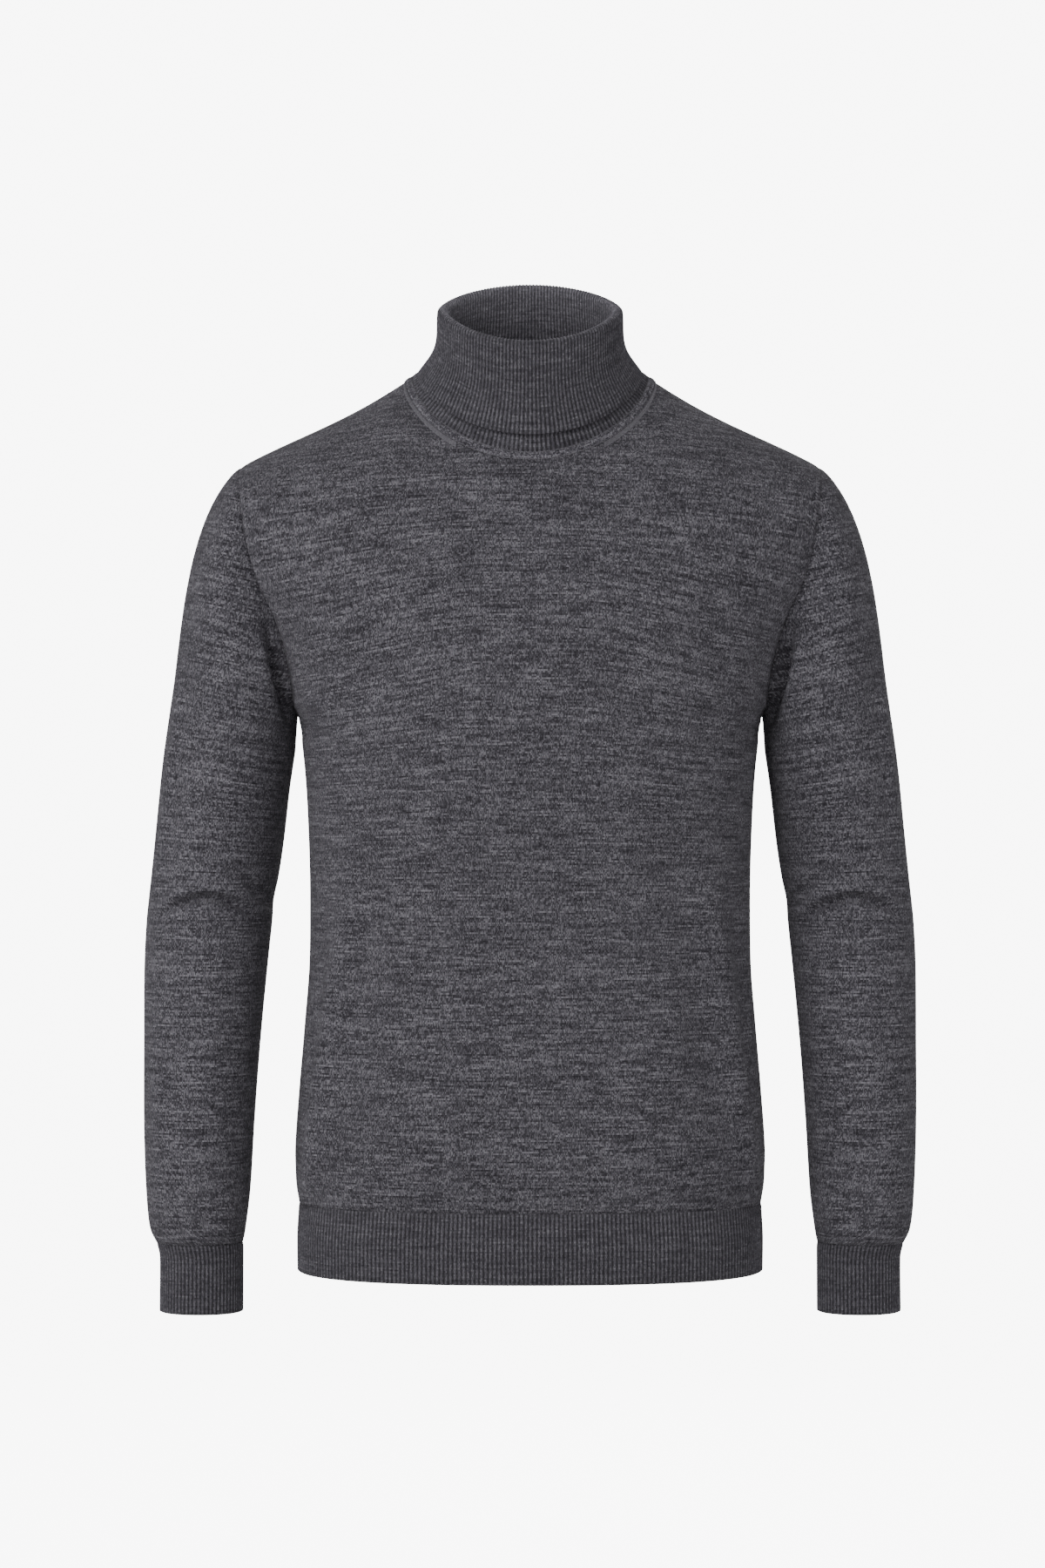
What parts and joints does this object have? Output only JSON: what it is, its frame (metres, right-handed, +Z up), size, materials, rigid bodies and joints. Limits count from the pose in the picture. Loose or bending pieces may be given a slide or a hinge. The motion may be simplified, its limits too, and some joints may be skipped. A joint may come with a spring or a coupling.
{
  "type": "turtleneck sweater",
  "caption": "Fine-knit turtleneck sweater in charcoal melange, filled out as worn, with set-in long sleeves, rib cuffs and hem, and a fold-over rib collar.",
  "frame": {"origin": "middle of the neck opening, level with the points where the shoulder seams reach the collar, on the line the wearer's shoulders carry", "axes": "+Z up out of the collar, -Y out of the front, +X to the wearer's left"},
  "size_m": [0.5838, 0.2338, 0.7791],
  "materials": {
    "plain_knit": "fine plain knit, charcoal melange, soft matt nap",
    "rib_knit": "fine one-by-one rib, charcoal melange, soft matt nap",
    "linked_strip": "plain knitted strip with linked edges, charcoal melange"
  },
  "bodies": {
    "root": {"front_panel": "plain_knit", "back_panel": "plain_knit", "sleeve_left": "plain_knit", "sleeve_right": "plain_knit", "hem_rib_front": "rib_knit", "hem_rib_back": "rib_knit", "cuff_left": "rib_knit", "cuff_right": "rib_knit", "roll_collar": "rib_knit", "neck_band": "linked_strip"}
  },
  "joints": []
}
